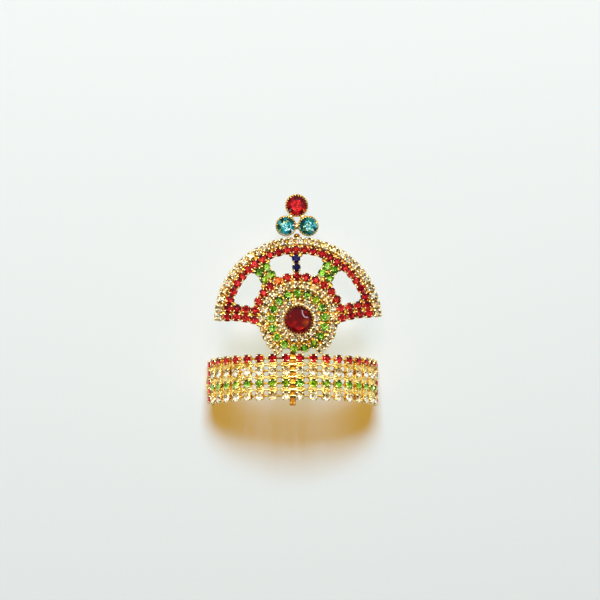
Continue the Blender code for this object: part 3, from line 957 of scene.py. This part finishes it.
# %% A drop of metal
def blob(shape, point, out, size, tarnish=0.35, sides=10, levels=5):
    """A rounded drop of metal, size across along X, Y and Z of a frame facing out."""
    place = place_at(point, right if abs(out.dot(right)) < 0.9 else up, out)
    scaled = place @ Matrix.Diagonal((size[0] / 2, size[1] / 2, size[2] / 2, 1))
    heights = [math.cos(math.pi * (k + 0.5) / levels) for k in range(levels)]
    stack(shape, scaled, sides, [(math.sqrt(1 - h * h), -h, tarnish) for h in heights])


# %% Top settings and the solder between them
TOP_NAMES = ("red", "aqua_left", "aqua_right")
JOINT_BAR_ACROSS = 0.6 * MM
JOINT_BAR_HEIGHT, JOINT_BAR_INSET = 0.3, 0.8
JOINT_DROP_SIZE = (1.6 * MM, 1.8 * MM, 1.1 * MM)
top_cups = new_shape()
for name in TOP_NAMES:
    toothed_setting(top_cups, seat_place(name), seats[name], SETTING_TEETH[name])
for first, second in itertools.combinations(TOP_NAMES, 2):
    a, b = seats[first], seats[second]
    run = (b.back - a.back).normalized()
    lift = a.out * a.depth * JOINT_BAR_HEIGHT
    start = a.back + run * a.rim * JOINT_BAR_INSET + lift
    end = b.back - run * b.rim * JOINT_BAR_INSET + lift
    bar(top_cups, start, end, JOINT_BAR_ACROSS, tarnish=0.6)
    joint = (a.back + run * a.rim + b.back - run * b.rim) / 2 + a.out * a.depth / 2
    blob(top_cups, joint, a.out, JOINT_DROP_SIZE, 0.25, sides=12, levels=6)

# %% Bead at the foot of the cluster
BEAD_DROP = 2.55 * MM
BEAD_LIFT = 0.9 * MM
BEAD_SIZE = (1.7 * MM, 1.3 * MM, 1.3 * MM)
# Painted shade: the bead is painted dark orange.
BEAD_SHADE = 1.1
foot = middle((seats["aqua_left"].back, seats["aqua_right"].back))
foot = foot - up * BEAD_DROP + seats["red"].out * BEAD_LIFT
blob(top_cups, foot, seats["red"].out, BEAD_SIZE, BEAD_SHADE, sides=14, levels=8)
add_piece("top_cups", top_cups, gold, ["top_setting"], sharp_deg=40)

# %% [markdown]
# The larger stones
#
# The centre stone has a wide flat table that shows soft red depths rather than separate
# facets, with a painted glow at its lower edge and one painted bent glint, a painted
# reflection. Its table is a fine web of small flat faces, each with a painted tone worked
# out from a few round glows. The top stones are cut finer than the chains' and break into a
# painted mosaic of light and dark.

# %% Painted depths, glows and glint in the centre stone's table
Glow = namedtuple("Glow", "x y reach tone warmth")
# Painted glows: each raises the tone round a place in mm and may warm it.
GLOWS = (
    Glow(1.0, -2.65, 0.50, 0.36, 0.1),
    Glow(-0.3, -2.3, 1.20, 0.05, 0.0),
    Glow(-2.6, 1.0, 0.35, 0.35, 0.5),
    Glow(2.1, -0.9, 1.00, 0.10, 0.8),
    Glow(1.9, 2.2, 0.40, 0.35, 0.0),
    Glow(-1.2, -0.6, 1.30, 0.07, 0.0),
)
# Painted highlight: the bent glint, a painted reflection, as points in mm on the table.
GLINT = ((0.83, 2.73), (0.91, 1.63), (1.47, 0.70), (2.35, 0.62))
GLINT_HALF = 0.13
SOFT_RINGS, SOFT_PARTS = 26, 9
# The table is painted brighter towards its lower side, and the painted glows stop at BRIGHTEST.
DEEP_TONE, DEEP_FALL, BRIGHTEST, GLINT_TONE = 0.45, 0.02, 0.76, 0.98


def glint_distance(x, y):
    """How far a point of the table lies from the painted bent glint, in mm."""
    nearest = math.inf
    for (ax, ay), (bx, by) in zip(GLINT, GLINT[1:]):
        dx, dy = bx - ax, by - ay
        share = ((x - ax) * dx + (y - ay) * dy) / (dx * dx + dy * dy)
        share = min(1.0, max(0.0, share))
        nearest = min(nearest, math.hypot(x - ax - dx * share, y - ay - dy * share))
    return nearest


def soft_tone(x, y):
    """The painted tone and warmth of the centre stone's table at a place in mm."""
    tone, warmth = DEEP_TONE - DEEP_FALL * y, 0.0
    for glow in GLOWS:
        share = math.exp(-((x - glow.x) ** 2 + (y - glow.y) ** 2) / glow.reach ** 2)
        tone += glow.tone * share
        warmth += glow.warmth * share
    tone = min(tone, BRIGHTEST)
    if glint_distance(x, y) < GLINT_HALF:
        tone = GLINT_TONE
    return tone, min(1.0, warmth)


# %% A table in many small flat faces
def soft_table(shape, place, cut):
    """The flat table of the centre stone in small faces, each with a soft painted tone."""
    count = MAINS * SOFT_PARTS
    turns = [2 * math.pi * k / MAINS for k in range(MAINS)]
    edge = [Vector((math.cos(turn), math.sin(turn))) for turn in turns]
    rings = []
    for step in range(1, SOFT_RINGS + 1):
        reach = cut.radius * cut.table_share * step / SOFT_RINGS
        corners = []
        for k in range(count):
            side, part = divmod(k, SOFT_PARTS)
            flat = edge[side].lerp(edge[(side + 1) % MAINS], part / SOFT_PARTS) * reach
            corners.append(add_corner(shape, place, (flat.x, flat.y, cut.table_height)))
        rings.append(corners)
    for low, high in zip(rings, rings[1:]):
        join_rings(shape, low, high, smooth=False)
    shape.faces.new(tuple(rings[0]))
    into = place.inverted()
    for face in shape.faces[-(count * (SOFT_RINGS - 1) + 1):]:
        local = (into @ face.calc_center_median()) / MM
        tone, warmth = soft_tone(local.x, local.y)
        face[shape.faces.layers.float["tone"]] = tone
        face[shape.faces.layers.float["warmth"]] = warmth


# %% Cut and tones of the larger stones
Large = namedtuple("Large", "node glass slot tones table_share table_rings mains")
LARGE_STONES = {
    "centre": Large("centre_stone", "dark_red", "dark_red_glass",
                    Tones(0.47, 0.14, 0.12, 0.0, 1, 0.0, 0.05, 0.0), 0.74, 0, MAINS),
    "red": Large("top_stone_red", "red", "dark_red_glass",
                 Tones(0.50, 0.20, 0.34, 0.01, 1, 0.0, 0.03, -0.12), 0.56, 3, 12),
    "aqua_left": Large("top_stone_aqua_left", "aqua", "aqua_glass",
                       Tones(0.47, 0.28, 0.40, 0.06, 1, 0.0, 0.10, -0.06), 0.54, 3, 12),
    "aqua_right": Large("top_stone_aqua_right", "aqua", "aqua_glass",
                        Tones(0.44, 0.18, 0.44, 0.05, 1, 0.0, 0.12, -0.06), 0.54, 3, 12),
}
GIRDLE_BELOW_RIM = 0.5 * MM
STONE_INSET = 0.16 * MM
FIRST_LARGE_SEED = 100

for seed, (name, large) in enumerate(LARGE_STONES.items(), FIRST_LARGE_SEED):
    seat = seats[name]
    cut = Cut(seat.rim - STONE_INSET, seat.depth - GIRDLE_BELOW_RIM, seat.table, large.table_share)
    stone = new_shape()
    cut_stone(stone, seat_place(name), cut, large.tones, random.Random(seed),
              table_rings=large.table_rings, mains=large.mains)
    if name == "centre":
        soft_table(stone, seat_place(name), cut)
    add_piece(f"{large.node}_cut", stone, glasses[large.glass], [large.node])

# %% [markdown]
# Band wires and end bars
#
# Three round wires run between the four rows and end in an upright bar. The solid wires
# have six sides and eighteen steps. Here each is swept again with round sections, so that
# the long highlights along them stay smooth. They are 1.3 times as thick as the solids,
# because solder has run along them.

# %% Wires between the rows
frame_points = [vertex.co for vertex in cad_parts["band_frame"].data.vertices]
MIDDLE_ANGLE = math.radians(60)
wire_points = [co for co in frame_points if abs(band_angle(co)) < MIDDLE_ANGLE]
reaches = [math.hypot(*(standing @ co).xy) for co in wire_points]
wire_radius = (max(reaches) + min(reaches)) / 2
wire_across = max(reaches) - min(reaches)
bar_angle = max(band_angle(co) for co in frame_points)
heights = [(standing @ co).z for co in frame_points]
row_heights = [(standing @ row[0].back).z for row in rows]
wire_heights = [(a + b) / 2 for a, b in zip(row_heights, row_heights[1:])]
WIRE_STEPS, WIRE_SIDES = 64, 12
WIRE_SWELL = 1.3
WIRE_TARNISH_AND_SHADE = 0.05
WIRE_END_TURN = 0.01
print(f"wires {wire_across / MM:.2f} mm thick at {wire_radius / MM:.2f} mm")


def sweep(shape, frames, sides, across, tarnish):
    """A round wire through frames whose X runs along it."""
    rings = []
    for place in frames:
        facing = place @ Matrix.Rotation(math.pi / 2, 4, "Y")
        rings.append(ring(shape, facing, sides, across / 2, 0, tarnish))
    for low, high in zip(rings, rings[1:]):
        join_rings(shape, low, high)
    return rings


band_wires = new_shape()
for height in wire_heights:
    places = []
    for k in range(WIRE_STEPS + 1):
        angle = (bar_angle - WIRE_END_TURN) * (2 * k / WIRE_STEPS - 1)
        places.append(around_band(angle, wire_radius, height))
    rings = sweep(band_wires, places, WIRE_SIDES, wire_across * WIRE_SWELL, WIRE_TARNISH_AND_SHADE)
    close_ends(band_wires, rings[0], rings[-1])


# %% Bars at the ends of the band
END_BAR_WIDTH = 0.5 * MM
END_BAR_DEPTH = 1.05 * MM
END_BAR_TARNISH_AND_SHADE = 0.3
END_BAR_SECTION = (
    (1, 0.5), (0.6, 1), (-0.6, 1), (-1, 0.5), (-1, -0.5), (-0.6, -1), (0.6, -1), (1, -0.5),
)
for side in (-1, 1):
    angle = side * (bar_angle - END_BAR_WIDTH / 2 / wire_radius)
    rings = []
    for height in (min(heights), max(heights)):
        place = around_band(angle, wire_radius, height)
        corners = []
        for x, z in END_BAR_SECTION:
            local = (x * END_BAR_WIDTH / 2, 0, z * END_BAR_DEPTH / 2)
            corners.append(add_corner(band_wires, place, local, END_BAR_TARNISH_AND_SHADE))
        rings.append(corners)
    join_rings(band_wires, rings[0], rings[1])
    close_ends(band_wires, rings[0], rings[1])
add_piece("band_wires", band_wires, wire_gold, ["band_frame"], sharp_deg=50)

# %% [markdown]
# Tie loops and stem
#
# A string through the two plain rings ties the crown on. Each ring's middle, plane and size
# are read from its solid. The stem is a flat strip with softened edges, which the torch has
# dulled, and it ends in two small rounded lobes below the band. It is painted darkest at its
# foot, a painted shade where it lies behind the band.

# %% Tie loops
LOOP_STEPS, LOOP_SIDES = 48, 12
LOOP_TARNISH_AND_SHADE = 0.2
for side in ("left", "right"):
    node = f"tie_loop_{side}"
    points = [vertex.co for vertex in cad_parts[node].data.vertices]
    centre = middle(points)
    strip = middle(cup.out for cup in chains[f"end_strip_{side}"])
    spread = [(co - centre).dot(strip.normalized()) for co in points]
    wire = max(spread) - min(spread)
    reach = max((co - centre).length for co in points) - wire / 2
    loop_shape = new_shape()
    rings = []
    for k in range(LOOP_STEPS):
        turn = Matrix.Rotation(2 * math.pi * k / LOOP_STEPS, 4, "Z")
        place = place_at(centre, up, strip) @ turn @ Matrix.Translation((reach, 0, 0))
        facing = place @ Matrix.Rotation(math.pi / 2, 4, "X")
        rings.append(ring(loop_shape, facing, LOOP_SIDES, wire / 2, 0, LOOP_TARNISH_AND_SHADE))
    for k in range(LOOP_STEPS):
        join_rings(loop_shape, rings[k - 1], rings[k])
    add_piece(f"{node}_ring", loop_shape, gold, [node])

# %% Stem
STEM_STEPS = 24
# Painted shade: the stem is darkest at its foot and lighter towards its top.
STEM_SHADE, STEM_SHADE_FADE = 1.0, 0.4
STEM_SECTION = (
    (1, 0.4), (0.8, 1), (-0.8, 1), (-1, 0.4), (-1, -0.4), (-0.8, -1), (0.8, -1), (1, -0.4),
)
stem_points = [standing @ vertex.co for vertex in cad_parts["stem"].data.vertices]
low = Vector([min(co[axis] for co in stem_points) for axis in range(3)])
high = Vector([max(co[axis] for co in stem_points) for axis in range(3)])
stem_shape = new_shape()
rings = []
for k in range(STEM_STEPS + 1):
    height = low.z + (high.z - low.z) * k / STEM_STEPS
    tarnish = STEM_SHADE - STEM_SHADE_FADE * (k / STEM_STEPS) ** 2
    corners = []
    for x, y in STEM_SECTION:
        local = Vector((x * (high.x - low.x) / 2, y * (high.y - low.y) / 2, 0))
        local += Vector(((low.x + high.x) / 2, (low.y + high.y) / 2, height))
        corners.append(add_corner(stem_shape, crown, local, tarnish))
    rings.append(corners)
for one, other in zip(rings, rings[1:]):
    join_rings(stem_shape, one, other)
close_ends(stem_shape, rings[0], rings[-1])

# %% Lobes at the stem's foot
LOBE_SIZE = (0.85 * MM, 1.25 * MM, 0.75 * MM)
LOBE_ASIDE = 0.42 * MM
LOBE_TARNISH_AND_SHADE = 0.6
stem_out = crown.to_3x3() @ Vector((0, -1, 0))
stem_middle = (low + high) / 2
for side in (-1, 1):
    lobe = Vector((stem_middle.x + side * LOBE_ASIDE, stem_middle.y, low.z + LOBE_SIZE[1] / 2))
    blob(stem_shape, crown @ lobe, stem_out, LOBE_SIZE, LOBE_TARNISH_AND_SHADE, sides=12, levels=6)
add_piece("stem_strip", stem_shape, dull_gold, ["stem"], sharp_deg=50)

# %% [markdown]
# Solder
#
# Solder holds the lengths together. It shows as rounded drops where a cup of the band
# touches a wire, long enough to round the corners of the openings. Near the ends of the
# band it fills the openings beside the wires, and in the medallion and the fan it lies
# between the cups.

# %% Drops of solder on the band
BAND_DROP_SIZE = (2.9 * MM, 1.15 * MM, 0.95 * MM)
BAND_DROP_TARNISH_AND_SHADE = 0.36
band_solder = new_shape()
for height, above, below in zip(wire_heights, rows, rows[1:]):
    for upper, lower in zip(above, below):
        for cup, toward in ((upper, 1), (lower, -1)):
            angle = band_angle(cup.back)
            gap = abs((standing @ cup.back).z - height) - cup.radius
            spot = around_band(angle, wire_radius, height + toward * (wire_across + gap) / 3)
            blob(band_solder, spot.translation, cup.out, BAND_DROP_SIZE, BAND_DROP_TARNISH_AND_SHADE)

# %% Solder that ran along the wires near the ends of the band
END_SOLDER_FROM = 0.62
END_SOLDER_SIZE = (1.9 * MM, 1.9 * MM, 0.8 * MM)
END_SOLDER_TARNISH_AND_SHADE = 0.45
for height, row in zip(wire_heights, rows):
    angles = [band_angle(cup.back) for cup in row]
    for first, second in zip(angles, angles[1:]):
        between = (first + second) / 2
        if abs(math.sin(between)) > END_SOLDER_FROM:
            spot = around_band(between, wire_radius, height)
            out = spot.to_3x3().col[2]
            blob(band_solder, spot.translation, out, END_SOLDER_SIZE, END_SOLDER_TARNISH_AND_SHADE)
add_piece("band_solder", band_solder, solder, [])

# %% Drops of solder in the medallion and the fan
WEB_REACH, RING_REACH = 1.68, 1.95
WEB_LIFT = 0.30
WEB_SIZE = (1.5 * MM, 1.5 * MM, 0.55 * MM)
# Drops low between the cups carry more tarnish and painted shade.
WEB_TARNISH_AND_SHADE = 0.75
fan_solder = new_shape()
flat_chains = [node for node in chains if not node.startswith(("band_", "end_"))]
flat_cups = [(node.startswith("ring_"), cup) for node in flat_chains for cup in chains[node]]
drops = 0
for (in_ring, first), (also_in_ring, second) in itertools.combinations(flat_cups, 2):
    reach = RING_REACH if in_ring and also_in_ring else WEB_REACH
    if (first.back - second.back).length < 2 * first.radius * reach:
        spot = (first.back + second.back) / 2 + first.out * first.depth * WEB_LIFT
        blob(fan_solder, spot, first.out, WEB_SIZE, WEB_TARNISH_AND_SHADE, sides=8, levels=4)
        drops += 1
print("drops in the medallion and the fan:", drops)
add_piece("fan_solder", fan_solder, solder, [])

# %% [markdown]
# Studio
#
# A pale sheet under the crown, one broad soft window of light beyond the top stones, and a
# white tent whose top is open and dark, so that the flat tables of the stones keep their
# colour. Two small lamps at the sides make the metal sparkle.
#
# Gold throws warm light into its own shadow. Following that light would take very many
# samples, so the sheet has its own copies of the window, in four parts that add up to
# white: a warm part that nothing blocks, and three cooler parts that are blocked by every
# piece, by the lower pieces or by the band alone. Light linking says which lamp reaches
# and which piece blocks what. The band gets two more helps: a low lamp for the light that
# leaves its stones, and a broad lamp on each side of the window that draws highlights along
# its metal. The metal of the top cluster and of the fan's outer arc is hidden from the
# sheet's bounced light, because it would throw a cream halo that the photograph hasn't got.

# %% Floor
FLOOR_SIZE = 3.0
SHEET_COLOUR = (0.78, 0.818, 0.802, 1.0)
floor_shape = bmesh.new()
bmesh.ops.create_grid(floor_shape, x_segments=1, y_segments=1, size=FLOOR_SIZE)
floor_mesh = bpy.data.meshes.new("floor")
floor_shape.to_mesh(floor_mesh)
floor_shape.free()
floor = bpy.data.objects.new("floor", floor_mesh)
bpy.context.scene.collection.objects.link(floor)
paper, tree, shader = new_material("pale_sheet")
shader.inputs["Base Color"].default_value = SHEET_COLOUR
shader.inputs["Roughness"].default_value = 0.8
shader.inputs["Specular IOR Level"].default_value = 0.0
floor_mesh.materials.append(paper)

# %% Lamps
def area_lamp(name, towards, size, power, colour=(1, 1, 1), distance=0.6):
    """A soft rectangular lamp that looks at the crown from a direction."""
    data = bpy.data.lights.new(name, "AREA")
    data.shape = "RECTANGLE"
    data.size, data.size_y = size
    data.energy = power
    data.color = colour
    lamp = bpy.data.objects.new(name, data)
    direction = Vector(towards).normalized()
    lamp.location = direction * distance
    lamp.rotation_euler = (-direction).to_track_quat("-Z", "Y").to_euler()
    bpy.context.scene.collection.objects.link(lamp)
    return lamp


def only(name, objects, state="INCLUDE"):
    """A collection for light linking that includes or excludes some objects."""
    group = bpy.data.collections.new(name)
    for item in objects:
        group.objects.link(item)
    for link in group.collection_objects:
        link.light_linking.link_state = state
    return group


# %% The window, whole for the crown and in parts for the sheet
KEY_TOWARDS = (-0.06, 0.74, 0.67)
KEY_SIZE = (0.70, 0.50)
KEY_DISTANCE = 2.0
KEY_POWER = 40.0
FLOOR_POWER = 65.0
SHADOW_TINT = (0.62, 0.34, 0.06)
ALL_SHADE = (0.13, 0.08, 0.07)
LOWER_SHADE = (0.22, 0.28, 0.42)
BAND_NAMES = ("band_", "end_", "tie_loop", "stem")
LOWER_NAMES = BAND_NAMES + ("ring_", "centre_", "wing_")
HALO_NAMES = ("top_cups", "fan_arc_clear_cups")


def window(name, power, colour):
    """The broad lamp beyond the top stones, with a power and a colour."""
    return area_lamp(name, KEY_TOWARDS, KEY_SIZE, power, colour, KEY_DISTANCE)


pieces = [item for item in bpy.context.scene.objects if item.type == "MESH"]
for name in HALO_NAMES:
    bpy.data.objects[name].visible_diffuse = False
band_shade = tuple(1 - sum(parts) for parts in zip(SHADOW_TINT, ALL_SHADE, LOWER_SHADE))
key = window("key", KEY_POWER, (1, 1, 1))
key.light_linking.receiver_collection = only("all_but_floor", [floor], "EXCLUDE")
for name, shade, blockers in (
    ("all", ALL_SHADE, None),
    ("lower", LOWER_SHADE, LOWER_NAMES),
    ("band", band_shade, BAND_NAMES),
):
    part = window(f"floor_shaded_by_{name}", FLOOR_POWER, shade)
    part.light_linking.receiver_collection = only(f"floor_{name}", [floor])
    if blockers:
        blocking = [item for item in pieces if item.name.startswith(blockers)]
        part.light_linking.blocker_collection = only(f"blockers_{name}", blocking)
bounced = window("gold_bounce", FLOOR_POWER, SHADOW_TINT)
bounced.light_linking.receiver_collection = only("floor_bounce", [floor])
bounced.light_linking.blocker_collection = only("no_crown", [floor])

# %% Small lamps at the sides
SIDE_SIZE, SIDE_POWER = (0.10, 0.10), 0.22
for name, towards in (("side_left", (-1.0, 0.1, 0.6)), ("side_right", (1.0, -0.1, 0.7))):
    side_lamp = area_lamp(name, towards, SIDE_SIZE, SIDE_POWER)
    side_lamp.light_linking.receiver_collection = key.light_linking.receiver_collection

# %% Lamps for the band's glass and metal
LOW_TOWARDS = crown.to_3x3() @ Vector((0, -1.0, -0.9))
LOW_SIZE, LOW_POWER = (0.25, 0.25), 2.6
WIDE_ASIDE, WIDE_POWER = 0.75, 9.0
on_band_pieces = [item for item in pieces if item.name.startswith(("band_", "end_"))]
band_glass = [item for item in on_band_pieces if item.name.endswith("_stones")]
band_metal = [item for item in on_band_pieces if item not in band_glass]
low_lamp = area_lamp("low", LOW_TOWARDS, LOW_SIZE, LOW_POWER)
low_lamp.light_linking.receiver_collection = only("low_lit", band_glass)
for name, x in (("wide_left", -WIDE_ASIDE), ("wide_right", WIDE_ASIDE)):
    towards = (x, *KEY_TOWARDS[1:])
    wide = area_lamp(name, towards, KEY_SIZE, WIDE_POWER, distance=KEY_DISTANCE)
    wide.light_linking.receiver_collection = only(f"{name}_lit", band_metal)

# %% Room
# Brightness by height, from the horizon at 0 to straight up at 1.
TENT = ((0.0, 0.30), (0.15, 0.55), (0.50, 0.55), (0.70, 0.20), (0.78, 0.05), (1.0, 0.05))
TENT_COLOUR = (0.95, 0.98, 1.0)
world = bpy.data.worlds.new("room")
world.use_nodes = True
background = world.node_tree.nodes["Background"]
coords = world.node_tree.nodes.new("ShaderNodeTexCoord")
split = world.node_tree.nodes.new("ShaderNodeSeparateXYZ")
world.node_tree.links.new(coords.outputs["Generated"], split.inputs[0])
stops = [(height, tuple(part * light for part in TENT_COLOUR)) for height, light in TENT]
tent = colour_ramp(world.node_tree, split.outputs["Z"], stops)
world.node_tree.links.new(tent, background.inputs["Color"])
background.inputs["Strength"].default_value = 1.0
bpy.context.scene.world = world
world.cycles_visibility.diffuse = False
bpy.context.scene.view_settings.view_transform = "Standard"

# %% [markdown]
# Camera
#
# The photograph looks straight at the front of the crown from far away, a few degrees from
# its left and from below its middle. The camera therefore stands in the crown's own axes.

# %% Camera from the crown's front
VIEW_AZIMUTH_DEG = -5.32
VIEW_ELEVATION_DEG = -6.35
VIEW_DISTANCE = 0.9
PICTURE_PIXELS, PIXEL = 600, 0.268
VIEW_WIDTH = PICTURE_PIXELS * PIXEL * MM
AIM = Vector((0.174, -21.65, 20.74)) * MM
SENSOR_MM = 36.0

camera_data = bpy.data.cameras.new("camera")
camera_data.sensor_width = SENSOR_MM
camera_data.lens = SENSOR_MM * VIEW_DISTANCE / VIEW_WIDTH
camera = bpy.data.objects.new("camera", camera_data)
azimuth, elevation = math.radians(VIEW_AZIMUTH_DEG), math.radians(VIEW_ELEVATION_DEG)
towards = Vector((
    math.sin(azimuth) * math.cos(elevation),
    -math.cos(azimuth) * math.cos(elevation),
    math.sin(elevation),
))
towards = crown.to_3x3() @ towards
image_right = (-towards).cross(up).normalized()
image_up = image_right.cross(-towards)
turn = Matrix((image_right, image_up, towards)).transposed().to_4x4()
camera.matrix_world = Matrix.Translation(crown @ AIM + towards * VIEW_DISTANCE) @ turn
bpy.context.scene.collection.objects.link(camera)
bpy.context.scene.camera = camera
print(f"camera stands {camera.location.z:.2f} m above the floor")
